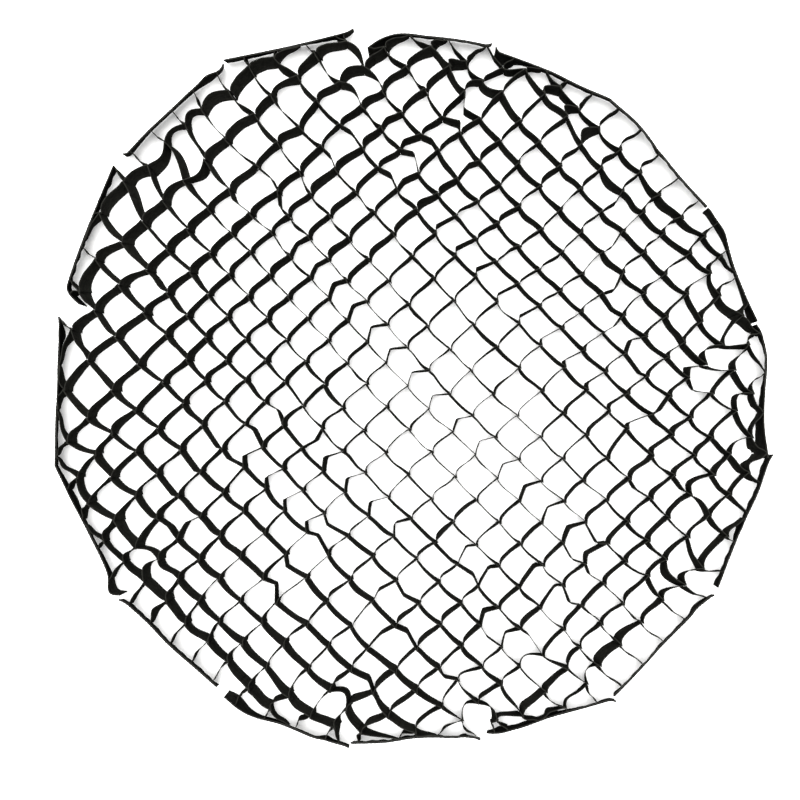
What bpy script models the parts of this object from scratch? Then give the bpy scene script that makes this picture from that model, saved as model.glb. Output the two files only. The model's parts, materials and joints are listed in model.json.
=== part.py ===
"""Square-cell fabric grid, sold as a honeycomb grid, for a sixteen-sided softbox.

Two families of black fabric strips stand on edge and cross at right angles, halved into each
other, to make an egg-crate of square cells. Sixteen rim panels close it, each lying across the
ends of the strips and leaning outwards at the bottom. A panel carries a band of hook tape on its
outer face, for the loop tape inside the softbox's lip, and turns a little about the seam along
its top edge. At two corners the neighbouring panels are sewn into one bent panel.

Origin: middle of the grid, on the surface that it lies on. +Z up, strips along X and Y. Metres.
"""

import math

import bmesh
import bpy
from mathutils import Vector

# Driving dimensions
SIDES = 16
ACROSS_FLATS = 0.882  # between opposite rim panels, inside face to inside face, at the top
CELLS_ACROSS = 24  # cells between opposite rim panels
DEPTH = 0.045  # height of the strips

# Strips
STRIP_THICKNESS = 0.0008  # two plies of nylon
SLOT_CLEARANCE = 0.0003  # beside a crossing strip, on each side
HALVING_GAP = 0.0003  # between the closed ends of two meeting slots
END_GAP = 0.0006  # between a strip's end and the panel's inner face, when upright

# Rim panels
PANEL_THICKNESS = 0.0012  # folded fabric
PANEL_HEIGHT = 0.043
TOP_DROP = 0.0006  # from the top of the strips down to the panel's hinge seam
FLARE = math.radians(13)  # lean of a panel, bottom outwards
CORNER_GAP = 0.010  # between the ends of neighbouring panels
TAPE_HEIGHT = 0.025  # hook tape band on the outer face
TAPE_THICKNESS = 0.0018
TAPE_MARGIN = 0.009  # from the panel's top edge down to the tape
JOINED_CORNERS = (4, 10)  # corners whose two panels are one piece, counted from 11.25 degrees

APOTHEM = ACROSS_FLATS / 2
CELL = ACROSS_FLATS / CELLS_ACROSS
TURN = 2 * math.pi / SIDES  # angle between neighbouring sides
SIDE = 2 * APOTHEM * math.tan(TURN / 2)
STRIPS = CELLS_ACROSS - 1  # in each family
MIDDLE_STRIP = STRIPS // 2
HINGE_HEIGHT = DEPTH - TOP_DROP


def clear_scene():
    for obj in list(bpy.data.objects):
        bpy.data.objects.remove(obj)


def fabric_material(name, colour, roughness):
    material = bpy.data.materials.new(name)
    material.use_nodes = True
    shader = material.node_tree.nodes["Principled BSDF"]
    shader.inputs["Base Color"].default_value = (*colour, 1)
    shader.inputs["Roughness"].default_value = roughness
    shader.inputs["Metallic"].default_value = 0
    return material


def add_object(name, mesh, material):
    mesh.materials.append(material)
    obj = bpy.data.objects.new(name, mesh)
    bpy.context.scene.collection.objects.link(obj)
    return obj


# Strips


def reach(offset):
    """Half the length of a chord of the rim at this distance from the middle."""
    inner = APOTHEM - END_GAP
    ends = []
    for side in range(SIDES):
        across, along = math.sin(TURN * side), math.cos(TURN * side)
        if along > 1e-6:
            ends.append((inner - offset * across) / along)
    return min(ends)


def strip_reach(offset):
    """Half the length of a strip, whose two faces both end inside the rim."""
    half = STRIP_THICKNESS / 2
    return min(reach(abs(offset) - half), reach(abs(offset) + half))


def strip_offset(index):
    return (index - MIDDLE_STRIP) * CELL


def strip_outline(offset, slots_open_up):
    """Points (along, height) of a strip seen from its side, with a slot at every crossing."""
    half_length = strip_reach(offset)
    half_slot = STRIP_THICKNESS / 2 + SLOT_CLEARANCE
    middle = DEPTH / 2
    crossings = [
        place
        for place in map(strip_offset, range(STRIPS))
        if abs(place) < half_length - half_slot and abs(offset) < strip_reach(place)
    ]
    # The slotted edge first, from the far end back to the near one.
    edge, floor = (DEPTH, middle - HALVING_GAP / 2) if slots_open_up else (0, middle + HALVING_GAP / 2)
    points = [(half_length, edge)]
    for place in reversed(crossings):
        points += [
            (place + half_slot, edge),
            (place + half_slot, floor),
            (place - half_slot, floor),
            (place - half_slot, edge),
        ]
    points += [(-half_length, edge), (-half_length, DEPTH - edge), (half_length, DEPTH - edge)]
    return points


def strip_mesh(name, outline):
    """The outline, thickened to both sides of the strip's middle plane. The strip runs along X."""
    shape = bmesh.new()
    corners = [shape.verts.new((along, -STRIP_THICKNESS / 2, height)) for along, height in outline]
    face = shape.faces.new(corners)
    extruded = bmesh.ops.extrude_face_region(shape, geom=[face])["geom"]
    moved = [item for item in extruded if isinstance(item, bmesh.types.BMVert)]
    bmesh.ops.translate(shape, verts=moved, vec=(0, STRIP_THICKNESS, 0))
    bmesh.ops.recalc_face_normals(shape, faces=shape.faces)
    mesh = bpy.data.meshes.new(name)
    shape.to_mesh(mesh)
    shape.free()
    return mesh


def add_strips(material):
    for index in range(STRIPS):
        offset = strip_offset(index)
        along_x = f"strip_x_{index + 1:02d}"
        strip = add_object(along_x, strip_mesh(along_x, strip_outline(offset, True)), material)
        strip.location = (0, offset, 0)
        along_y = f"strip_y_{index + 1:02d}"
        strip = add_object(along_y, strip_mesh(along_y, strip_outline(offset, False)), material)
        strip.location = (offset, 0, 0)
        strip.rotation_euler = (0, 0, math.pi / 2)


# Rim panels


def panel_profile():
    """Points (outward, up) of an upright panel's section, from its hinge seam at the origin."""
    tape_top = -TAPE_MARGIN
    tape_bottom = tape_top - TAPE_HEIGHT
    tape_face = PANEL_THICKNESS + TAPE_THICKNESS
    return [
        (0, 0),
        (0, -PANEL_HEIGHT),
        (PANEL_THICKNESS, -PANEL_HEIGHT),
        (PANEL_THICKNESS, tape_bottom),
        (tape_face, tape_bottom),
        (tape_face, tape_top),
        (PANEL_THICKNESS, tape_top),
        (PANEL_THICKNESS, 0),
    ]


def leaning(point):
    """A point of the section, once the panel has turned its bottom outwards."""
    outward, up = point
    return (
        outward * math.cos(FLARE) - up * math.sin(FLARE),
        outward * math.sin(FLARE) + up * math.cos(FLARE),
    )


def side_direction(side):
    return Vector((math.cos(TURN * side), math.sin(TURN * side), 0))


def rim_corner(corner):
    """Where sides corner and corner + 1 meet, on the hinge seams."""
    angle = TURN * (corner + 0.5)
    radius = APOTHEM / math.cos(TURN / 2)
    return Vector((radius * math.cos(angle), radius * math.sin(angle), HINGE_HEIGHT))


def end_section(side, end):
    """(place, outward direction) where a panel stops short of a corner. end is -1 or 1."""
    outward = side_direction(side)
    along = Vector((-outward.y, outward.x, 0))
    seam = outward * APOTHEM + Vector((0, 0, HINGE_HEIGHT))
    return seam + along * end * (SIDE - CORNER_GAP) / 2, outward


def corner_section(corner):
    """(place, outward direction) of the bend between two joined panels."""
    angle = TURN * (corner + 0.5)
    outward = Vector((math.cos(angle), math.sin(angle), 0)) / math.cos(TURN / 2)
    return rim_corner(corner), outward


def panel_mesh(name, sections, origin):
    """The leaning profile, carried through the sections, with its points taken from the origin."""
    profile = [leaning(point) for point in panel_profile()]
    shape = bmesh.new()
    rings = []
    for place, outward in sections:
        rings.append(
            [
                shape.verts.new(place - origin + outward * out + Vector((0, 0, up)))
                for out, up in profile
            ]
        )
    for ring, next_ring in zip(rings, rings[1:]):
        for i in range(len(profile)):
            j = (i + 1) % len(profile)
            shape.faces.new((ring[i], ring[j], next_ring[j], next_ring[i]))
    shape.faces.new(rings[0])
    shape.faces.new(rings[-1])
    bmesh.ops.recalc_face_normals(shape, faces=shape.faces)
    mesh = bpy.data.meshes.new(name)
    shape.to_mesh(mesh)
    shape.free()
    return mesh


def add_panel(name, sections, material):
    """A panel whose origin lies on its hinge seam, half way along."""
    origin = (sections[0][0] + sections[-1][0]) / 2
    panel = add_object(name, panel_mesh(name, sections, origin), material)
    panel.location = origin


def add_rim(material):
    """Panel n crosses side n, and corner n lies between sides n and n + 1."""
    for corner in JOINED_CORNERS:
        name = f"rim_corner_panel_{corner:02d}"
        sections = [end_section(corner, -1), corner_section(corner), end_section(corner + 1, 1)]
        add_panel(name, sections, material)
    joined = {side for corner in JOINED_CORNERS for side in (corner, corner + 1)}
    for side in range(SIDES):
        if side not in joined:
            sections = [end_section(side, -1), end_section(side, 1)]
            add_panel(f"rim_panel_{side:02d}", sections, material)


def main():
    clear_scene()
    strip_fabric = fabric_material("strip_fabric", (0.012, 0.012, 0.010), 0.85)
    rim_fabric = fabric_material("rim_fabric", (0.010, 0.010, 0.009), 0.80)
    add_strips(strip_fabric)
    add_rim(rim_fabric)


main()
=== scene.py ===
"""Looks of a black fabric honeycomb grid, lying as it was unfolded: slack strips on edge that bulge
between their crossings, sharp kinks where it was folded for storage, and a rim of sixteen panels
that lean outwards, with hook tape outside. Lengths are in metres, in the part's own frame."""

import json
import math

import bmesh
import bpy
import numpy as np
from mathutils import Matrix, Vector


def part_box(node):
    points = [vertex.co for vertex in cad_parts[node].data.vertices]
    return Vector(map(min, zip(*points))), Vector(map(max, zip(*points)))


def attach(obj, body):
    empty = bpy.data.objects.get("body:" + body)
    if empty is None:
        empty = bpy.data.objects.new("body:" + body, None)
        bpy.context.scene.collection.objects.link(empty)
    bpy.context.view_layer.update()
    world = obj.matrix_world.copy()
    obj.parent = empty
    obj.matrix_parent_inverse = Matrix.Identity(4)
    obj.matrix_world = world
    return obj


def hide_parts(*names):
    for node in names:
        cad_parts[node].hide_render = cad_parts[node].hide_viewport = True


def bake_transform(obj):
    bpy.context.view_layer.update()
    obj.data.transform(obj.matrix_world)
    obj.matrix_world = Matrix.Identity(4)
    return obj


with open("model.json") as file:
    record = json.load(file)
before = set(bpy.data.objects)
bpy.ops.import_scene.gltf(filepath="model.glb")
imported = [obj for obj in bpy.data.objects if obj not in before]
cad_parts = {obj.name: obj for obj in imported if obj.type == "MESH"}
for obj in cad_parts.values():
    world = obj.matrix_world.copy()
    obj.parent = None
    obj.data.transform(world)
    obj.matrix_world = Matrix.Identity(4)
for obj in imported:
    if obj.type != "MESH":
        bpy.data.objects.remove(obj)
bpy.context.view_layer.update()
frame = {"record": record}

MM = 0.001

# ---------------------------------------------------------------- sizes, from the frame
HINGES = {joint["child"]: joint for joint in frame["record"]["behaviour"]["joints"]}
APOTHEM = HINGES["rim_00"]["pos_m"][0]
SEAM_HEIGHT = HINGES["rim_00"]["pos_m"][2]
SIDES = 16
TURN = 2 * math.pi / SIDES
CORNER_RADIUS = APOTHEM / math.cos(TURN / 2)
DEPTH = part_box("strip_x_12")[1][2]
STRIPS = 23
MIDDLE = 12  # the strip through the middle of each family
CELL = 2 * APOTHEM / (STRIPS + 1)
PANEL_HEIGHT = 43 * MM
JOINED_CORNERS = (4, 10)
TAPE_HEIGHT = 25 * MM
TAPE_MARGIN = 9 * MM  # from the seam down to the hook tape

rng = np.random.default_rng(16)


def ramp(x, start, end):
    """0 up to start, 1 from end on, and smooth between."""
    t = np.clip((x - start) / (end - start), 0, 1)
    return t * t * (3 - 2 * t)


def hump(x, middle, width):
    return np.exp(-(((x - middle) / width) ** 2))


# ---------------------------------------------------------------- how the cloth lies, in plan
# Where each rim corner lies, off its place in the flat plan, in mm. Corner n is at (n + 1/2) turns.
# The corners were found in the photo, and their offsets then worked out in mm;
# A scratch script then worked out their offsets in mm, and all but those of corners 4 and 10 are as
# it printed them.
CORNER_SHIFT = (
    (1, -1), (1, 0), (-7, -17), (10, -22), (2, -14), (14, 0), (13, 13), (-19, 31),
    (-21, 30), (-8, 10), (-5, -16), (8, -8), (4, 0), (6, 0), (-8, 3), (5, -9),
)
# How each panel lies: the gaps between its ends and its corners (less than 0 where it runs past),
# how far its seam lies outside the straight line between the corners, in mm, at five even places,
# and its outward lean there, in degrees. Where it leans less, its inner face shows from above.
PANEL_LIES = (
    ((0, 6), (-4, -4, -5, -4, -3), (12, 12, 11, 12, 12)),
    ((4, -7), (-2, -4, -4, -2, -4), (5, 10, 8, 8, 5)),
    ((3, 0), (-5, -6, -1, 5, 3), (-7, 0, 9, 14, 4)),
    ((3, 0), (1, -1, -1, 3, -1), (0, 8, 10, 7, 4)),
    ((2, 0), (-3, -3, 0, 4, 0), (13, 13, 13, 14, 13)),
    ((0, 2), (0, -1, 0, -2, -5), (13, 12, 11, 8, -1)),
    ((3, 8), (-1, 4, 7, 8, -8), (14, 15, 14, 12, 0)),
    ((8, -2), (13, 10, 7, 7, 7), (17, 12, 17, 14, 12)),
    ((0, 5), (-1, 7, 8, 9, 8), (15, 13, 15, 15, 11)),
    ((8, 12), (14, 15, 15, 14, 12), (9, 10, 15, 15, 9)),
    ((9, 0), (11, 8, 6, 3, 0), (15, 14, 14, 15, 13)),
    ((0, 2), (0, 1, -1, -1, 4), (13, 7, 12, 11, 3)),
    ((1, 5), (0, -1, 1, 0, -1), (9, 10, 13, 12, 11)),
    ((8, 0), (4, 14, 8, 7, 1), (5, 7, 12, 13, 11)),
    ((1, 5), (-4, -3, -6, -4, -1), (11, 13, 12, 13, 14)),
    ((4, 0), (-4, 1, -1, -1, 0), (12, 8, 9, 12, 8)),
)
# Lumps on the panels: side, how far along, half length in mm, change of lean, mm outwards.
PANEL_LUMPS = (
    (0, 0.83, 12, -5, -1), (2, 0.05, 14, -4, 0), (3, 0.78, 14, -3, 2), (5, 0.90, 10, -5, 0),
    (10, 0.52, 16, -8, 0), (6, 0.88, 12, -6, 0), (8, 0.15, 12, -7, 4), (9, 0.92, 8, -9, 3),
    (10, 0.15, 12, -9, 1),
    (11, 0.93, 12, -3, 6), (13, 0.13, 14, -9, 1), (15, 0.12, 13, -8, 2), (7, 0.12, 14, -6, 0),
    (1, 0.48, 8, -3, 1), (4, 0.52, 5, -3, 0), (14, 0.86, 8, -4, 0), (13, 0.82, 8, -6, 0),
)
# Panel ends that bend away: side, which end, length of the bend in mm, mm outwards at the end.
PANEL_TAILS = (
    (9, 1, 17, -24), (6, 1, 20, -5), (1, 1, 14, 2), (7, 0, 12, 2), (8, 0, 12, 4), (8, 1, 7, 4),
    (14, 1, 10, 2), (15, 0, 10, -2), (15, 1, 10, 4), (5, 1, 9, 5), (6, 0, 9, 3), (2, 1, 16, -5),
    (11, 1, 9, -8), (12, 0, 12, 3), (0, 1, 8, 2), (3, 1, 8, -2), (10, 0, 12, 1), (13, 1, 10, 1),
)

LEAN_CORRECTION = 2  # degrees that the leans in the tables above are too large


def smooth_curve(values, t):
    """A smooth curve through evenly spaced values, at t from 0 to 1."""
    count = len(values) - 1
    k = int(min(max(t * count, 0), count - 1e-9))
    u = t * count - k
    before, a, b, after = (values[min(max(k + d, 0), count)] for d in (-1, 0, 1, 2))
    bend = 2 * before - 5 * a + 4 * b - after, 3 * (a - b) + after - before
    return a + 0.5 * u * ((b - before) + u * (bend[0] + u * bend[1]))


def corner_place(corner):
    corner %= SIDES
    angle = TURN * (corner + 0.5)
    plan = CORNER_RADIUS * np.array([math.cos(angle), math.sin(angle)])
    return plan + np.array(CORNER_SHIFT[corner]) * MM


def side_run(side):
    return corner_place(side) - corner_place(side - 1)


def side_normal(side):
    """Outward direction of a side as it lies."""
    run = side_run(side) / np.linalg.norm(side_run(side))
    return np.array([run[1], -run[0]])


def panel_ends(side):
    """Where a panel begins and ends, as fractions of the way between its corners."""
    length = np.linalg.norm(side_run(side)) / MM
    first, last = PANEL_LIES[side][0]
    return first / length, 1 - last / length


def lumps_at(side, along, column):
    length = np.linalg.norm(side_run(side)) / MM
    return sum(
        lump[column] * math.exp(-((((along - lump[1]) * length) / lump[2]) ** 2))
        for lump in PANEL_LUMPS
        if lump[0] == side
    )


def side_lean(side, along):
    lean = smooth_curve(PANEL_LIES[side][2], along) + lumps_at(side, along, 3)
    return math.radians(lean - LEAN_CORRECTION)


def side_offset(side, along):
    """How far the seam lies outside the straight line between the side's corners."""
    length = np.linalg.norm(side_run(side)) / MM
    ends = panel_ends(side)
    offset = smooth_curve(PANEL_LIES[side][1], along) + lumps_at(side, along, 4)
    for tail_side, end, reach, outwards in PANEL_TAILS:
        if tail_side == side:
            left = abs(ends[end] - along) * length
            offset += outwards * max(0, 1 - left / reach) ** 2
    return offset * MM


def seam_place(side, along):
    straight = corner_place(side - 1) * (1 - along) + corner_place(side) * along
    return straight + side_normal(side) * side_offset(side, along)


def rim_of(x, y):
    """(side, how far along it from corner side - 1 to corner side, fraction of the way out)."""
    angle = math.atan2(y, x)
    side = round(angle / TURN) % SIDES
    off = (angle - TURN * side + math.pi) % (2 * math.pi) - math.pi
    along = 0.5 + math.tan(off) / (2 * math.tan(TURN / 2))
    out = math.hypot(x, y) * math.cos(off) / APOTHEM
    return side, along, out


def drift(x, y):
    """How far a point inside the rim lies from its place in the flat plan.

    Smooth steps and humps in mm, each a size and where it is. They were chosen by hand, to follow
    how far a scratch script found the photo's strips to lie off an even grid."""
    dx = -14 + 24 * ramp(x, -0.06, 0.24) - 8 * ramp(x, 0.28, 0.40) - 22 * ramp(-x, 0.30, 0.41)
    dx += 13 * ramp(-x, -0.10, 0.06) * ramp(y, 0.13, 0.27)
    dx += 7 * hump(x, 0.05, 0.11) * ramp(y, 0.17, 0.26)
    dx += 7 * hump(x, -0.07, 0.10) * ramp(-y, 0.16, 0.30)
    dx -= 8 * hump(x, -0.31, 0.05) * hump(y, -0.23, 0.08)
    dx += 4 * hump(x, 0.02, 0.10) * ramp(y, 0.00, 0.04)
    dy = -8 + 11 * hump(y, 0.165, 0.07) - 8 * ramp(-y, 0.16, 0.34)
    dy += 62 * max(0, -x) * (1 - ramp(-y, 0.17, 0.32))
    dy += 4 * hump(x, 0.30, 0.06) * hump(y, 0.04, 0.09)
    for middle, first, last, closing in ROW_CREASES:
        here = ramp(x, first - 0.04, first) * ramp(-x, -last - 0.04, -last)
        step = (y - middle) / 0.055
        dy -= closing * here * step * np.exp(-step * step)
    return np.array([dx, dy]) * MM


# Creases along X, where the grid was folded: middle, first and last X, and how much the row closes.
ROW_CREASES = (
    (0.018, -0.260, 0.100, 7),
    (-0.128, -0.050, 0.350, 9),
    (-0.202, -0.060, 0.060, 13),
    (0.165, -0.200, 0.180, 6),
)

# Crossings that lie well off the smooth drift: strip_x, strip_y, and how far along X and Y, in mm.
# These, and the tables of leans and kinks below, were read off enlarged parts of the photo.
CROSSING_SHIFTS = (
    (8, 1, -8, 6), (9, 1, -13, 13), (10, 1, -7, 9), (11, 1, -13, 7), (12, 1, -10, 5), (13, 1, -9, -3),
    (14, 1, -6, -1), (15, 1, -12, 0), (16, 1, -9, -6), (7, 2, -10, 2), (14, 2, 3, 10), (17, 2, -16, 3),
    (18, 2, -3, 7), (5, 3, -16, 4), (6, 3, -8, -3), (7, 3, -7, 0), (13, 3, 4, 8), (14, 3, 3, 9),
    (15, 3, 8, 1), (19, 3, -11, 5), (4, 4, -10, -14), (5, 4, -10, -6), (6, 4, -2, -6), (13, 4, 5, 6),
    (14, 4, 8, 6), (15, 4, 5, 6), (19, 4, -4, 8), (20, 4, -6, 14), (3, 5, -1, -16), (4, 5, 1, -14),
    (5, 5, 1, -10), (6, 5, 1, -8), (16, 5, 6, 3), (19, 5, -3, 8), (20, 5, -5, 16), (4, 6, 1, -6),
    (5, 6, 0, -6), (20, 6, -2, 9), (2, 7, -5, -14), (3, 7, -1, -6), (18, 7, -6, 6), (19, 7, -6, 7),
    (21, 7, -7, 9), (22, 7, -10, 16), (2, 8, -4, -6), (22, 8, -5, 12), (2, 9, 4, -11), (22, 9, 0, 12),
    (4, 14, -6, -8), (22, 15, 4, 5), (2, 16, 5, -7), (22, 16, 5, 9), (2, 17, 5, -7), (5, 17, -5, -6),
    (20, 17, 3, -7), (21, 17, 2, -10), (3, 18, -8, -7), (16, 18, -8, 2), (20, 18, 4, -9), (21, 18, 8, -9),
    (22, 18, 7, 0), (3, 19, -4, -22), (4, 19, 0, -15), (19, 19, -3, 7), (20, 19, 2, 12), (21, 19, -5, 13),
    (4, 20, 11, -12), (5, 20, 8, 4), (6, 20, -9, 9), (19, 20, 4, 13), (20, 20, 8, 8), (5, 21, 8, 5),
    (9, 21, 9, -3), (10, 21, 6, 2), (19, 21, 8, 3), (7, 22, 15, -9), (8, 22, 13, -1), (9, 22, 11, 4),
    (13, 22, -1, 10), (8, 23, 7, 2), (9, 23, 4, 8), (14, 23, 5, -6), (15, 23, 6, -14),
)
CROSSING_SHIFT = {(i, j): np.array([x, y]) * MM for i, j, x, y in CROSSING_SHIFTS}
# Crossings that lean over, where cloth bunches up: the same, for their lower ends.
CROSSING_LEANS = (
    (22, 18, -5, -7), (21, 18, 2, -2), (21, 19, 5, -3), (21, 6, -4, -5), (2, 18, 3, 4), (10, 1, 4, -3),
    (2, 7, 0, 4), (2, 8, 0, 2), (2, 9, 0, 3), (2, 10, 0, 2), (4, 20, -3, 3), (16, 22, 3, 0),
    (17, 22, 5, 0), (18, 22, 5, 0), (9, 1, 3, 2),
)
CROSSING_LEAN = {(i, j): np.array([x, y]) * MM for i, j, x, y in CROSSING_LEANS}

PLACE_JITTER, LEAN_JITTER = 0.7 * MM, 0.8 * MM
RIM_ZONE = 0.80  # the fraction of the way out from which the rim's lie takes over from the drift

jitter = rng.normal(0, PLACE_JITTER, (STRIPS + 2, STRIPS + 2, 2))
lean_jitter = rng.normal(0, LEAN_JITTER, (STRIPS + 2, STRIPS + 2, 2))


def crossing_plan(i, j):
    """Flat place of the crossing of strip_x i with strip_y j."""
    return (j - MIDDLE) * CELL, (i - MIDDLE) * CELL


def laid(x, y):
    """Where a place of the flat plan lies in the photo's grid."""
    side, along, out = rim_of(x, y)
    angle = math.atan2(y, x)
    edge = APOTHEM / max(math.cos(angle - TURN * side), 0.5)
    rim_plan = edge * np.array([math.cos(angle), math.sin(angle)])
    rim_drift = seam_place(side, along) - rim_plan
    weight = ramp(out, RIM_ZONE, 1.0)
    return np.array([x, y]) + drift(x, y) * (1 - weight) + rim_drift * weight


def outer_lean(x, y):
    """How far the lower ends lie from the upper ones towards the grid's edges."""
    lean_x = 0.5 * ramp(-x, 0.20, 0.40) + 1.5 * ramp(x, 0.20, 0.35)
    side_y = 2.2 * ramp(-x, 0.18, 0.36) * ramp(-y, -0.10, 0.02)
    side_y -= 2.4 * ramp(x, 0.22, 0.36) * ramp(-y, -0.16, -0.04)
    return np.array([lean_x, 1.2 * ramp(y, 0.20, 0.35) + side_y]) * MM


def crossing_place(i, j):
    """(top, bottom) of a crossing seam, in plan."""
    x, y = crossing_plan(i, j)
    top = laid(x, y) + jitter[i, j] + CROSSING_SHIFT.get((i, j), 0)
    out = rim_of(x, y)[2]
    lean = lean_jitter[i, j] * (1 + 2.0 * ramp(out, 0.7, 1.0)) + CROSSING_LEAN.get((i, j), 0)
    return top, top + lean + outer_lean(x, y)


# ---------------------------------------------------------------- walls between crossings
# Sharp kinks that the storage folds left. A wall of strip_y j lies in row i, between strip_x i and
# i + 1, and a wall of strip_x i in column j: (row, first strip, last strip, sideways mm, where).
ROW_KINKS = (
    (12, 1, 1, -9, 0.5), (12, 6, 7, -5, 0.5), (12, 8, 9, -8, 0.52), (12, 10, 13, -11, 0.5),
    (12, 14, 19, -9, 0.5), (12, 20, 20, -8, 0.25), (11, 1, 1, -8, 0.45), (11, 2, 2, 9, 0.5),
    (10, 1, 1, 8, 0.5), (10, 2, 2, -6, 0.5), (10, 19, 20, -7, 0.82), (9, 1, 1, -4, 0.45),
    (9, 17, 18, -8, 0.72), (9, 23, 23, -8, 0.4), (8, 11, 11, 6, 0.55), (8, 12, 15, -11, 0.42),
    (8, 19, 21, -9, 0.5), (6, 10, 13, -10, 0.28), (6, 16, 16, -6, 0.4), (5, 17, 17, -4, 0.6),
    (5, 21, 21, -9, 0.57), (3, 10, 10, -7, 0.55), (1, 10, 10, -9, 0.45),
    (13, 1, 1, -8, 0.5), (13, 23, 23, -7, 0.3), (14, 23, 23, -11, 0.3), (15, 2, 2, -7, 0.35),
    (16, 7, 7, -4, 0.4), (16, 9, 15, -7, 0.16), (16, 16, 19, -6, 0.14),
    (16, 21, 21, -10, 0.28), (17, 3, 3, -7, 0.55), (17, 5, 5, -4, 0.4), (17, 6, 6, -6, 0.35),
    (17, 18, 18, 4, 0.3), (18, 8, 8, -5, 0.65), (18, 15, 15, 4, 0.45),
    (18, 16, 16, -9, 0.54), (18, 21, 21, -6, 0.5), (19, 14, 14, 9, 0.4), (19, 18, 18, -10, 0.36),
    (19, 20, 20, -12, 0.5), (20, 6, 6, -7, 0.5), (20, 13, 13, 5, 0.4),
    (20, 18, 18, -12, 0.35), (21, 12, 12, 5, 0.55), (22, 8, 8, -8, 0.3), (22, 9, 9, -9, 0.35),
    (22, 10, 10, -7, 0.45),
)
COLUMN_KINKS = (
    (1, 11, 11, 6, 0.4), (2, 18, 18, 6, 0.5), (3, 12, 12, -5, 0.35), (3, 13, 13, 5, 0.55),
    (3, 17, 17, 9, 0.4), (3, 18, 18, 6, 0.5), (4, 13, 13, -7, 0.5), (4, 15, 15, 5, 0.5),
    (4, 16, 16, 5, 0.4), (6, 16, 16, 7, 0.5), (6, 17, 17, 13, 0.42), (6, 18, 18, 5, 0.5),
    (6, 19, 19, 10, 0.7), (6, 20, 20, -12, 0.4), (8, 3, 6, -4, 0.9), (9, 2, 2, 6, 0.5),
    (9, 3, 3, 4, 0.5), (9, 6, 6, -4, 0.4), (9, 7, 7, 6, 0.35), (9, 8, 8, 7, 0.5),
    (11, 22, 22, -4, 0.5), (13, 4, 4, 12, 0.5), (13, 5, 5, -9, 0.3), (13, 6, 6, 8, 0.3),
    (13, 7, 7, -7, 0.3), (14, 19, 19, -4, 0.6), (16, 7, 7, -6, 0.5), (16, 18, 18, -4, 0.75),
    (17, 3, 3, 12, 0.48), (17, 4, 4, 9, 0.6), (17, 6, 6, 7, 0.4), (17, 9, 9, 6, 0.6),
    (18, 19, 19, -9, 0.45), (19, 6, 6, -6, 0.45), (19, 8, 8, -4, 0.4), (19, 12, 12, -7, 0.6),
    (19, 13, 13, -9, 0.8), (19, 15, 15, -4, 0.4), (20, 9, 9, 4, 0.3), (20, 11, 11, -9, 0.65),
    (20, 12, 12, -6, 0.4), (21, 6, 6, 8, 0.55), (21, 16, 16, 5, 0.4), (22, 14, 14, -9, 0.35),
)


def kink_table(rules):
    return {
        (cell, strip): (sideways * MM, where)
        for cell, first, last, sideways, where in rules
        for strip in range(first, last + 1)
    }


ROW_KINK = kink_table(ROW_KINKS)
COLUMN_KINK = kink_table(COLUMN_KINKS)
WALL_STEPS = 14
SLOT_HALF = 0.5 * MM  # half the slot at a crossing
CURL_REACH = 0.16  # of a wall's length, from its first crossing
SHOULDER_FROM = 0.80  # of a wall's length, up to its last crossing
LOOSE = 1.15  # how loose a wall is before its kink is rounded
KINKED_SHARE = 0.25  # of its bow that a wall with a kink keeps
# A strip's rows of points, from 0 at its bottom edge to 1 at its top, and which are in its hems.
HEIGHTS = np.array([0, 0.035, 0.10, 0.30, 0.5, 0.70, 0.90, 0.965, 1.0])
STRIP_HEMS = (0, 1, 7, 8)
# How the walls of a family bow, in mm but for the powers: the curl at a wall's first crossing and
# its power, the shoulder at its last, the bulge, how much that varies, and the power of its place,
# which brings its peak nearer to the first crossing.
WALL_BOWS = {0: (-0.5, 1, 0.7, 1.9, 0.8, 0.75), 1: (3.4, 1.5, -0.5, 3.1, 0.9, 0.6)}
BELLY, WAVE, CRUMPLE = 0.5 * MM, 0.5 * MM, 0.35 * MM
TAUT = 0.7  # how loose a wall is where it stops crumpling
BOW_VARIES = 0.35  # how much a bow varies from top to bottom, and less at a kink in a taut wall
KINK_VARIES = 0.15

wall_noise = rng.normal(0, 1, (2, STRIPS + 2, STRIPS + 2, 6))
rng.random((2, STRIPS + 2, STRIPS + 2, 3))  # unused, but the panels' noise is drawn after it


def kink_of(family, strip, cell):
    """(sideways, where) of a wall's kink, or None."""
    return (ROW_KINK if family else COLUMN_KINK).get((cell, strip))


def wall_steps():
    """Where a wall has its columns of points, from 0 at one crossing to just short of 1 at the next."""
    edge = SLOT_HALF / CELL
    return np.concatenate([[0, edge, 0.045], np.linspace(0.10, 0.95, WALL_STEPS - 4), [1 - edge]])


def tent(t, peak):
    """Straight up to 1 at peak and straight down again, with a just rounded tip."""
    shape = np.minimum(t / peak, (1 - t) / (1 - peak))
    return np.minimum(shape, 0.93 + 0.07 * shape)


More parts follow.
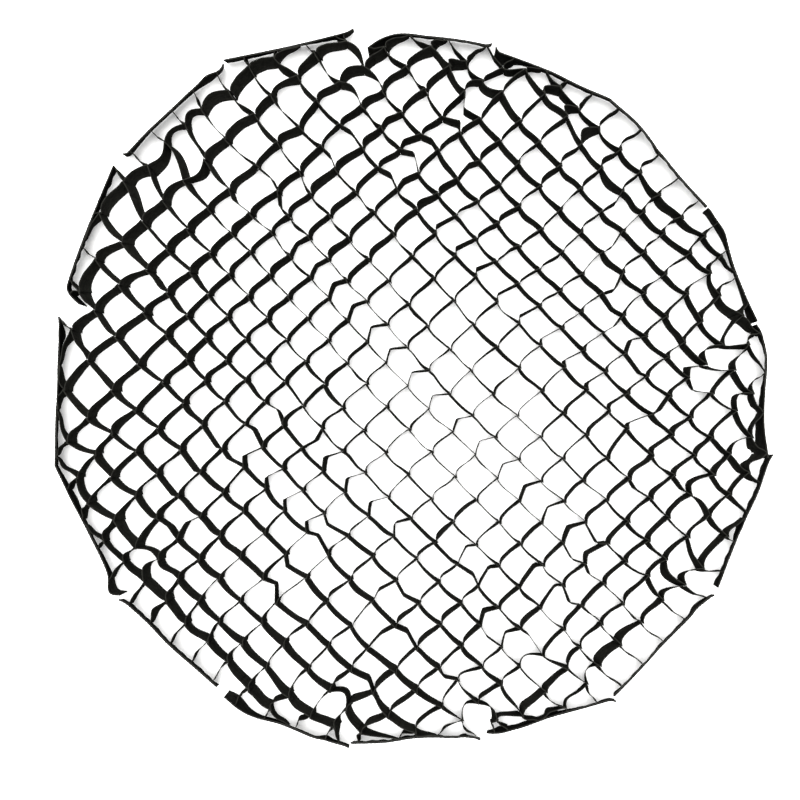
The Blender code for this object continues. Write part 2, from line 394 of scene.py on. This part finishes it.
def wall_bow(family, strip, cell, t, height, slack, kink):
    """Sideways distance of a wall from the straight line between its crossings.

    Walls of strip_y (family 1) bow towards -X and curl to +X at their lower crossing; those of
    strip_x (family 0) sag towards -Y. height runs from 0 at the bottom edge to 1 at the top."""
    n = wall_noise[family, strip, cell]
    curl_size, curl_power, shoulder_size, bulge_size, bulge_varies, place_power = WALL_BOWS[family]
    row_scale = 1 + (KINK_VARIES if kink and slack < 1.1 else BOW_VARIES) * n[3] * (0.5 - height)
    belly = BELLY * n[4] * math.sin(math.pi * height) * np.sin(math.pi * t)
    curl = curl_size * MM * np.clip(1 - t / CURL_REACH, 0, 1) ** curl_power
    shoulder = shoulder_size * MM * ramp(t, SHOULDER_FROM, 1.0)
    bulge = -(bulge_size + bulge_varies * n[0]) * MM * slack * np.sin(math.pi * t**place_power)
    wave = WAVE * slack * n[1] * np.sin(2 * math.pi * t)
    crumple = CRUMPLE * (slack - TAUT) * n[2] * np.sin(3 * math.pi * t + n[5])
    bow = (curl + shoulder + bulge + wave + crumple) * row_scale + belly
    if kink:
        peak = tent(t, kink[1])
        if slack > LOOSE:
            peak = np.sin(0.5 * math.pi * peak)
        bow = bow * KINKED_SHARE + kink[0] * peak * row_scale
    return bow


def strip_ends(family, strip):
    """Along-strip plan coordinates of the two ends of a strip, where it meets the rim."""
    offset = (strip - MIDDLE) * CELL
    reach = min(
        (APOTHEM - offset * math.sin(TURN * s)) / math.cos(TURN * s)
        for s in range(-3, 4)
    )
    return -reach, reach


# Strip ends sewn elsewhere than in the flat plan, mostly on the next panel: (family, strip, -1 for
# its low end or 1 for its high one), and the side and how far along it.
MOVED_ENDS = {
    (1, 2, -1): (9, 0.90), (1, 2, 1): (7, 0.12), (0, 22, 1): (2, 0.92),
    (0, 2, 1): (13, 0.92), (1, 22, -1): (15, 0.08), (0, 9, -1): (9, 0),
}


def end_place(family, strip, end):
    """(side, how far along it) where a strip's end is sewn to the rim."""
    offset = (strip - MIDDLE) * CELL
    x, y = (end, offset) if family == 0 else (offset, end)
    return MOVED_ENDS.get((family, strip, int(math.copysign(1, end))), rim_of(x, y)[:2])


END_INSET = 0.6 * MM  # a strip's end stops this far inside the panel's seam


def rim_point(side, along, height):
    """Where a strip meets the leaning rim panel: its place in plan, at that height."""
    first, last = panel_ends(side)
    along = min(max(along, first), last)
    drop = (1 - height) * DEPTH
    out = drop * math.tan(side_lean(side, along)) - END_INSET
    return seam_place(side, along) + out_direction(side, along) * out


def wall_slack(x, y):
    """How loose the walls are: a little livelier towards the rim."""
    return 1 + 0.5 * ramp(rim_of(x, y)[2], 0.70, 0.98)


LEAST_END = 2 * MM  # a crossing closer than this to the rim is left out


def strip_sheet(family, strip):
    """Plan places of a strip's grid of points: [height, along], and which columns are in slots."""
    low, high = strip_ends(family, strip)
    offset = (strip - MIDDLE) * CELL
    lowest, highest = low + LEAST_END, high - LEAST_END
    cells = [c for c in range(1, STRIPS + 1) if lowest < (c - MIDDLE) * CELL < highest]
    stops = [low] + [(c - MIDDLE) * CELL for c in cells] + [high]
    steps = wall_steps()
    columns, slots, lengths = [], [], []
    for k, (start, end) in enumerate(zip(stops, stops[1:])):
        cell = cells[k - 1] if k else cells[0] - 1
        span = (end - start) / CELL
        middle = (start + end) / 2
        x, y = (middle, offset) if family == 0 else (offset, middle)
        slack = wall_slack(x, y) * min(1, span)
        last = k == len(stops) - 2
        kink = kink_of(family, strip, cell)
        ts = np.append(steps, 1.0) if last else steps
        block = np.zeros((len(HEIGHTS), len(ts), 2))
        for row, height in enumerate(HEIGHTS):
            a = place_on(family, strip, start, k == 0, height, cells, k - 1)
            b = place_on(family, strip, end, last, height, cells, k)
            line = a + np.outer(ts, b - a)
            bow = wall_bow(family, strip, cell, ts, height, slack, kink)
            bow = np.where((ts == 0) | (ts == 1), 0, bow)
            if k == 0:
                bow = bow * ramp(ts, 0, 0.5)
            if last:
                bow = bow * ramp(1 - ts, 0, 0.5)
            line[:, 1 - family] += bow
            block[row] = line
        columns.append(block)
        slots += [(k > 0 and t == 0) for t in ts]
        lengths += list(start + ts * (end - start))
    return np.concatenate(columns, axis=1), slots, lengths


def place_on(family, strip, along, at_rim, height, cells, index):
    """Where a strip's end or crossing is, in plan, at a height from 0 to 1."""
    if at_rim:
        return rim_point(*end_place(family, strip, along), height)
    i, j = (strip, cells[index]) if family == 0 else (cells[index], strip)
    top, bottom = crossing_place(i, j)
    return bottom + (top - bottom) * height


SINGLE_PLY = 0.58  # of a hem's thickness
BLEND_DEPTH = 20 * MM  # a strip's last stretch, this close to the rim, is a piece of its own, grouped by its panel's side
MITRE_REACH = 0.10  # of a panel's length, next to a joined corner


def out_direction(side, along):
    """Outward from the panel, turning to the mitre line at a joined corner."""
    normal = side_normal(side)
    for corner, near in ((side - 1, along), (side, 1 - along)):
        if corner % SIDES in JOINED_CORNERS:
            other = side_normal((side - 1 if corner == side - 1 else side + 1) % SIDES)
            mitre = normal + other
            mitre /= np.dot(mitre, normal)
            turn = 1 - ramp(near, 0, MITRE_REACH)
            return normal * (1 - turn) + mitre * turn
    return normal


def rim_distance(place, side):
    """How far inside a side's seam a place in plan is."""
    return float(np.dot(corner_place(side) - place, side_normal(side)))


def sheet_object(name, grid, skip, along, thickness, hems=()):
    """A mesh from a grid of 3-D points [row, column], thickened, with UVs in metres.

    Rows in hems are whole plies thick, and the rest is thinner if there are any."""
    rows, cols = grid.shape[:2]
    mesh = bpy.data.meshes.new(name)
    faces = []
    for r in range(rows - 1):
        for c in range(cols - 1):
            if (r, c) not in skip:
                a = r * cols + c
                faces.append((a, a + 1, a + cols + 1, a + cols))
    mesh.from_pydata(grid.reshape(-1, 3).tolist(), [], faces)
    uv = mesh.uv_layers.new(name="cloth")
    for loop in mesh.loops:
        r, c = divmod(loop.vertex_index, cols)
        uv.data[loop.index].uv = (along[c], grid[r, c][2])
    obj = bpy.data.objects.new(name, mesh)
    bpy.context.scene.collection.objects.link(obj)
    solid = obj.modifiers.new("plies", "SOLIDIFY")
    solid.thickness = thickness
    solid.offset = 0
    if hems:
        group = obj.vertex_groups.new(name="hem")
        for row in range(rows):
            vertices = list(range(row * cols, (row + 1) * cols))
            group.add(vertices, 1.0 if row in hems else SINGLE_PLY, "REPLACE")
        solid.vertex_group = "hem"
    mesh.shade_smooth()
    return obj


def drop_loose(mesh):
    shape = bmesh.new()
    shape.from_mesh(mesh)
    bmesh.ops.delete(shape, geom=[v for v in shape.verts if not v.link_faces], context="VERTS")
    shape.to_mesh(mesh)
    shape.free()


STRIP_HEM_THICKNESS = 0.95 * MM


def build_strip(family, strip):
    """The strip between the two blended ends, and the ends' own grids of points."""
    plan, slots, lengths = strip_sheet(family, strip)
    rows, cols = plan.shape[:2]
    grid = np.zeros((rows, cols, 3))
    grid[..., :2] = plan
    grid[..., 2] = HEIGHTS[:, None] * DEPTH
    sides = [end_place(family, strip, end)[0] for end in strip_ends(family, strip)]
    top = plan[-1]
    near = [rim_distance(p, sides[0]) < BLEND_DEPTH for p in top]
    far = [rim_distance(p, sides[1]) < BLEND_DEPTH for p in top]
    first = max((c for c in range(cols // 2) if near[c]), default=0)
    last = min((c for c in range(cols // 2, cols) if far[c]), default=cols - 1)
    half = rows // 2
    cut_rows = range(half, rows - 1) if family == 0 else range(half)
    skip = {(r, c + d) for c in range(cols) if slots[c] for d in (-1, 0) for r in cut_rows}
    pieces = []
    for a, b, kind in ((0, first, "low"), (first, last, "main"), (last, cols - 1, "high")):
        part_skip = {(r, c - a) for r, c in skip if a <= c < b}
        pieces.append((kind, grid[:, a : b + 1], part_skip, np.array(lengths[a : b + 1])))
    return pieces, sides


def join_meshes(name, objects):
    """One object from several that share the same modifiers."""
    bpy.ops.object.select_all(action="DESELECT")
    for obj in objects:
        obj.select_set(True)
    bpy.context.view_layer.objects.active = objects[0]
    bpy.ops.object.join()
    objects[0].name = name
    objects[0].data.name = name
    return objects[0]


def build_lattice(material):
    """46 strips, and for each side the group of strip ends next to its panel."""
    ends = {side: [] for side in range(SIDES)}
    for family, letter in ((0, "x"), (1, "y")):
        for strip in range(1, STRIPS + 1):
            node = f"strip_{letter}_{strip:02d}"
            pieces, sides = build_strip(family, strip)
            for kind, grid, skip, along in pieces:
                name = f"cloth_{node}" if kind == "main" else f"end_{node}_{kind}"
                obj = sheet_object(name, grid, skip, along, STRIP_HEM_THICKNESS, STRIP_HEMS)
                drop_loose(obj.data)
                obj.data.materials.append(material)
                if kind == "main":
                    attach(obj, "grid")
                    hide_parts(node)
                else:
                    ends[sides[0 if kind == "low" else 1]].append(obj)
    return {side: join_meshes(f"strip_ends_{side:02d}", group) for side, group in ends.items()}


# ---------------------------------------------------------------- stitches
THREAD_RADIUS = 0.28 * MM
STITCH_BENDS = (0.2, 0.8)  # where along a stitch the thread comes to lie on the cloth
THREAD_LIFT = 0.4  # of its radius, from the cloth to the thread's middle


def unit(v):
    return v / np.linalg.norm(v)


def add_stitch(points, faces, start, end, outward):
    """One stitch: a thread that comes out of the cloth, lies on it and goes in again."""
    run = end - start
    across = unit(np.cross(run, outward)) * THREAD_RADIUS
    up = unit(outward) * THREAD_RADIUS
    first = len(points)
    points.append(start - up)
    for t in STITCH_BENDS:
        middle = start + run * t + up * THREAD_LIFT
        points += [middle + across, middle + up, middle - across, middle - up]
    points.append(end - up)
    for k in range(4):
        a, b = first + 1 + k, first + 1 + (k + 1) % 4
        faces += [(first, b, a), (a, b, b + 4, a + 4), (first + 9, a + 4, b + 4)]


def stitch_object(name, points, faces, thread):
    mesh = bpy.data.meshes.new(name)
    mesh.from_pydata([tuple(p) for p in points], [], faces)
    mesh.shade_smooth()
    mesh.materials.append(thread)
    obj = bpy.data.objects.new(name, mesh)
    bpy.context.scene.collection.objects.link(obj)
    return obj


CROSSING_STITCHES = 8  # one above another, on two sides of a crossing
STITCH_LENGTH, STITCH_PITCH = 3.0 * MM, 4.6 * MM
LOWEST_STITCH = 4 * MM
CROSSING_OUT = 0.9 * MM  # from the middle of a crossing to its stitches
HEM_SEAMS = (4.2 * MM, 38.8 * MM)  # depths of the hems' rows of stitches
TAPE_SEAM = 1.4 * MM  # from a tape's edge to its row of stitches


def build_crossing_stitches(thread):
    """Upright rows of stitches that hold the strips together where they cross."""
    points, faces = [], []
    for i in range(1, STRIPS + 1):
        for j in range(1, STRIPS + 1):
            side, _, out = rim_of(*crossing_plan(i, j))
            if out > 1:
                continue
            top, bottom = crossing_place(i, j)
            near = (side - 1, side, side + 1)
            if min(rim_distance(top, s % SIDES) for s in near) < BLEND_DEPTH:
                continue
            for way in (-1, 1):
                outward = np.array([0.7, 0.7, 0]) * way
                for k in range(CROSSING_STITCHES):
                    heights = np.array([0, STITCH_LENGTH]) + LOWEST_STITCH + k * STITCH_PITCH
                    ends = [np.array([*(bottom + (top - bottom) * h / DEPTH), h]) for h in heights]
                    shift = outward * CROSSING_OUT
                    add_stitch(points, faces, ends[0] + shift, ends[1] + shift, outward)
    stitches = stitch_object("crossing_stitches", points, faces, thread)
    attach(stitches, "grid")


def panel_stitches(side, thread):
    """Four rows of stitches along a panel: one in each hem, and one along each edge of the tape."""
    points, faces = [], []
    cloth = PANEL_MIDDLE + PANEL_HEM_THICKNESS / 2
    tape = TAPE_MIDDLE + TAPE_THICKNESS / 2
    rows = [(depth, cloth) for depth in HEM_SEAMS]
    rows += [(TAPE_MARGIN + TAPE_SEAM, tape), (TAPE_MARGIN + TAPE_HEIGHT - TAPE_SEAM, tape)]
    count = int(panel_length(side) / STITCH_PITCH)
    for depth, out in rows:
        for k in range(1, count - 1):
            steps = (k / count, (k + STITCH_LENGTH / STITCH_PITCH) / count)
            start, end = (panel_place(side, step, depth, out) for step in steps)
            outward = panel_place(side, steps[0], depth, out + MM) - start
            add_stitch(points, faces, start, end, outward)
    return stitch_object(f"stitches_rim_{side:02d}", points, faces, thread)


# ---------------------------------------------------------------- rim
PANEL_HEM_THICKNESS = 1.6 * MM
PANEL_MIDDLE = 0.6 * MM  # from a panel's inner face to the middle of its cloth
TAPE_THICKNESS = 1.5 * MM
TAPE_MIDDLE = PANEL_MIDDLE + (PANEL_HEM_THICKNESS * SINGLE_PLY + TAPE_THICKNESS) / 2
TAPE_RIB = 0.3 * MM
LEAST_HEIGHT = 0.8 * MM  # of a panel's lower edge over the floor
PANEL_STEPS = 72
# A panel's rows of points, as depths below its seam, and which are in its hems.
PANEL_ROWS = np.array([0, 0.6, 5.4, 6.4, 14, 21.5, 29, 36.6, 37.6, 42.4, 43]) * MM
PANEL_HEMS = (0, 1, 2, 8, 9, 10)
TAPE_ROWS = TAPE_MARGIN + TAPE_HEIGHT * np.linspace(0, 1, 26)
PANEL_WAVES = ((0.7, 2), (0.5, 9), (0.3, 23))  # size in mm, and half waves along a panel
panel_noise = rng.normal(0, 1, (SIDES, 6))


def panel_length(side):
    first, last = panel_ends(side)
    return float(np.linalg.norm(side_run(side)) * (last - first))


def panel_place(side, step, depth, out):
    """The point at a fraction step along a panel, depth below the seam and out from its face."""
    first, last = panel_ends(side)
    along = first + (last - first) * step
    lean = side_lean(side, along)
    n = panel_noise[side]
    joined = any(corner in JOINED_CORNERS for corner in ((side - 1) % SIDES, side))
    wave = sum(
        size * n[2 * k] * math.sin(halves * math.pi * along + n[2 * k + 1])
        for k, (size, halves) in enumerate(PANEL_WAVES)
    )
    hold = math.sin(math.pi * step) if joined else 1
    ripple = hold * wave * MM * (depth / PANEL_HEIGHT) ** 1.5
    sideways = out * math.cos(lean) + depth * math.sin(lean) + ripple
    height = SEAM_HEIGHT - depth * math.cos(lean) + out * math.sin(lean)
    plan = seam_place(side, along) + out_direction(side, along) * sideways
    return np.array([plan[0], plan[1], max(height, LEAST_HEIGHT)])


def panel_band(name, side, depths, outs, thickness, hems=()):
    """A band of cloth on a panel, with rows at these depths and distances out."""
    steps = np.linspace(0, 1, PANEL_STEPS + 1)
    places = [
        [panel_place(side, step, depth, out) for step in steps] for depth, out in zip(depths, outs)
    ]
    return sheet_object(name, np.array(places), (), steps * panel_length(side), thickness, hems)


def build_panels(fabric, tape_material, thread, ends):
    """The rim panels with their tapes and stitches, and what each one moves with."""
    panels = {}
    count = len(TAPE_ROWS)
    ribs = [TAPE_RIB * (row % 2) * (1 < row < count - 2) for row in range(count)]
    for side in range(SIDES):
        outs = [PANEL_MIDDLE] * len(PANEL_ROWS)
        name = f"cloth_rim_{side:02d}"
        panel = panel_band(name, side, PANEL_ROWS, outs, PANEL_HEM_THICKNESS, PANEL_HEMS)
        panel.data.materials.append(fabric)
        outs = [TAPE_MIDDLE + rib for rib in ribs]
        tape = panel_band(f"hook_tape_{side:02d}", side, TAPE_ROWS, outs, TAPE_THICKNESS)
        tape.data.materials.append(tape_material)
        stitches = panel_stitches(side, thread)
        panels[side] = (panel, tape, stitches)
    for corner in JOINED_CORNERS:
        for side in (corner, corner + 1):
            for piece in (*panels[side], ends[side]):
                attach(piece, "grid")
    for side, (panel, tape, stitches) in panels.items():
        joined = [c for c in JOINED_CORNERS if side in (c, c + 1)]
        if joined:
            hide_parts(f"rim_corner_panel_{joined[0]:02d}")
        else:
            body = f"rim_{side:02d}"
            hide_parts(f"rim_panel_{side:02d}")
            for piece in (panel, tape, stitches):
                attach(piece, body)
            seam = (corner_place(side) + corner_place(side - 1)) / 2
            normal = side_normal(side)
            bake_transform(ends[side])
        panel_length(side)


# ---------------------------------------------------------------- materials
def nodes_of(material):
    tree = material.node_tree
    return tree.nodes, tree.links, tree.nodes["Principled BSDF"]


def new_material(name, roughness):
    material = bpy.data.materials.new(name)
    material.use_nodes = True
    shader = nodes_of(material)[2]
    shader.inputs["Roughness"].default_value = roughness
    shader.inputs["Specular IOR Level"].default_value = 0.0
    return material


WAVES_PER_SCALE = 3.2  # bands of a wave texture to a metre, at scale 1


def woven(name, dark, light, thread, roughness=0.8, bump=0.25):
    """Plain weave, thread metres apart, with a faint cloudy wear between dark and light."""
    material = new_material(name, roughness)
    nodes, links, shader = nodes_of(material)
    uv = nodes.new("ShaderNodeUVMap")
    uv.uv_map = "cloth"
    waves = []
    for axis in ("X", "Y"):
        wave = nodes.new("ShaderNodeTexWave")
        wave.wave_type = "BANDS"
        wave.bands_direction = axis
        wave.inputs["Scale"].default_value = 1 / thread / WAVES_PER_SCALE
        wave.inputs["Distortion"].default_value = 0.6
        wave.inputs["Detail"].default_value = 1
        links.new(uv.outputs["UV"], wave.inputs["Vector"])
        waves.append(wave)
    mix = nodes.new("ShaderNodeMath")
    mix.operation = "ADD"
    links.new(waves[0].outputs["Fac"], mix.inputs[0])
    links.new(waves[1].outputs["Fac"], mix.inputs[1])
    noise = nodes.new("ShaderNodeTexNoise")
    noise.inputs["Scale"].default_value = 160
    noise.inputs["Detail"].default_value = 5
    noise.inputs["Roughness"].default_value = 0.65
    coordinates = nodes.new("ShaderNodeTexCoord")
    links.new(coordinates.outputs["Object"], noise.inputs["Vector"])
    colour = nodes.new("ShaderNodeValToRGB")
    colour.color_ramp.elements[0].position = 0.35
    colour.color_ramp.elements[0].color = (*dark, 1)
    colour.color_ramp.elements[1].position = 0.70
    colour.color_ramp.elements[1].color = (*light, 1)
    links.new(noise.outputs["Fac"], colour.inputs["Fac"])
    links.new(colour.outputs["Color"], shader.inputs["Base Color"])
    height = nodes.new("ShaderNodeBump")
    height.inputs["Strength"].default_value = bump
    height.inputs["Distance"].default_value = 0.0002
    links.new(mix.outputs["Value"], height.inputs["Height"])
    links.new(height.outputs["Normal"], shader.inputs["Normal"])
    return material


def twisted_thread():
    """Black sewing thread, with the fine slanting ridges of its twist."""
    material = new_material("thread", 0.6)
    nodes, links, shader = nodes_of(material)
    coordinates = nodes.new("ShaderNodeTexCoord")
    wave = nodes.new("ShaderNodeTexWave")
    wave.bands_direction = "DIAGONAL"
    wave.inputs["Scale"].default_value = 900
    links.new(coordinates.outputs["Object"], wave.inputs["Vector"])
    colour = nodes.new("ShaderNodeValToRGB")
    colour.color_ramp.elements[0].color = (0.012, 0.012, 0.011, 1)
    colour.color_ramp.elements[1].color = (0.034, 0.034, 0.032, 1)
    links.new(wave.outputs["Fac"], colour.inputs["Fac"])
    links.new(colour.outputs["Color"], shader.inputs["Base Color"])
    height = nodes.new("ShaderNodeBump")
    height.inputs["Strength"].default_value = 0.3
    height.inputs["Distance"].default_value = 0.0001
    links.new(wave.outputs["Fac"], height.inputs["Height"])
    links.new(height.outputs["Normal"], shader.inputs["Normal"])
    return material


def floor_material():
    material = new_material("paper_floor", 0.9)
    nodes, links, shader = nodes_of(material)
    noise = nodes.new("ShaderNodeTexNoise")
    noise.inputs["Scale"].default_value = 3
    colour = nodes.new("ShaderNodeValToRGB")
    colour.color_ramp.elements[0].color = (0.93, 0.93, 0.92, 1)
    colour.color_ramp.elements[1].color = (0.95, 0.95, 0.94, 1)
    links.new(noise.outputs["Fac"], colour.inputs["Fac"])
    links.new(colour.outputs["Color"], shader.inputs["Base Color"])
    shader.inputs["Emission Color"].default_value = (1, 1, 1, 1)
    shader.inputs["Emission Strength"].default_value = 0.15
    return material


# ---------------------------------------------------------------- stage
CAMERA_OVER = (0.064, -0.004)  # the point straight below the camera
CAMERA_AIM = (-0.0053, -0.0243)  # the middle of the picture
CAMERA_RISE = 1.83  # above the strips' top edges
PICTURE_WIDTH = 1.0019  # at the strips' top edges
SENSOR = 36  # mm
FLOOR_HALF = 40.0
FLOOR_DROP = 0.3 * MM  # so that the floor doesn't share the strips' lower edges


def build_camera():
    camera_data = bpy.data.cameras.new("camera")
    camera = bpy.data.objects.new("camera", camera_data)
    bpy.context.scene.collection.objects.link(camera)
    camera.location = (*CAMERA_OVER, DEPTH + CAMERA_RISE)
    back = camera.location - Vector((*CAMERA_AIM, DEPTH))
    up = Vector((-math.sqrt(0.5), math.sqrt(0.5), 0))  # the grid lies turned an eighth
    right = up.cross(back).normalized()
    up = back.cross(right).normalized()
    back.normalize()
    matrix = camera.matrix_world.copy()
    for row in range(3):
        matrix[row][0], matrix[row][1], matrix[row][2] = right[row], up[row], back[row]
        matrix[row][3] = camera.location[row]
    camera.matrix_world = matrix
    camera_data.sensor_width = SENSOR
    camera_data.lens = SENSOR * CAMERA_RISE / PICTURE_WIDTH
    camera_data.clip_end = 50
    bpy.context.scene.camera = camera


def add_light(name, kind, energy, location, size):
    data = bpy.data.lights.new(name, kind)
    data.energy = energy
    light = bpy.data.objects.new(name, data)
    bpy.context.scene.collection.objects.link(light)
    light.location = location
    light.rotation_euler = (Vector(location).to_track_quat("Z", "Y")).to_euler()
    if kind == "SUN":
        data.angle = size
    else:
        data.size = size


def build_stage():
    mesh = bpy.data.meshes.new("floor")
    corners = [(x * FLOOR_HALF, y * FLOOR_HALF, 0) for x, y in ((-1, -1), (1, -1), (1, 1), (-1, 1))]
    mesh.from_pydata(corners, [], [(0, 1, 2, 3)])
    floor = bpy.data.objects.new("floor", mesh)
    bpy.context.scene.collection.objects.link(floor)
    floor.location.z = -FLOOR_DROP
    mesh.materials.append(floor_material())
    add_light("overhead", "SUN", 6.2, (-0.06, 0.0, 1.0), math.radians(36))
    add_light("fill", "AREA", 25, (-1.2, 0.9, 1.6), 1.6)
    world = bpy.data.worlds.new("world")
    world.use_nodes = True
    background = world.node_tree.nodes["Background"]
    background.inputs["Color"].default_value = (1, 1, 1, 1)
    background.inputs["Strength"].default_value = 0.75
    bpy.context.scene.world = world
    bpy.context.scene.view_settings.view_transform = "Standard"


def main():
    build_camera()
    build_stage()
    strip_cloth = woven("strip_cloth", (0.012, 0.012, 0.0105), (0.023, 0.023, 0.020), 0.6 * MM)
    rim_cloth = woven("rim_cloth", (0.012, 0.012, 0.0108), (0.024, 0.024, 0.0215), 0.7 * MM)
    tape = woven("hook_band", (0.011, 0.011, 0.011), (0.030, 0.030, 0.030), 1.5 * MM, 0.7, 0.8)
    thread = twisted_thread()
    ends = build_lattice(strip_cloth)
    build_crossing_stitches(thread)
    build_panels(rim_cloth, tape, thread, ends)


main()
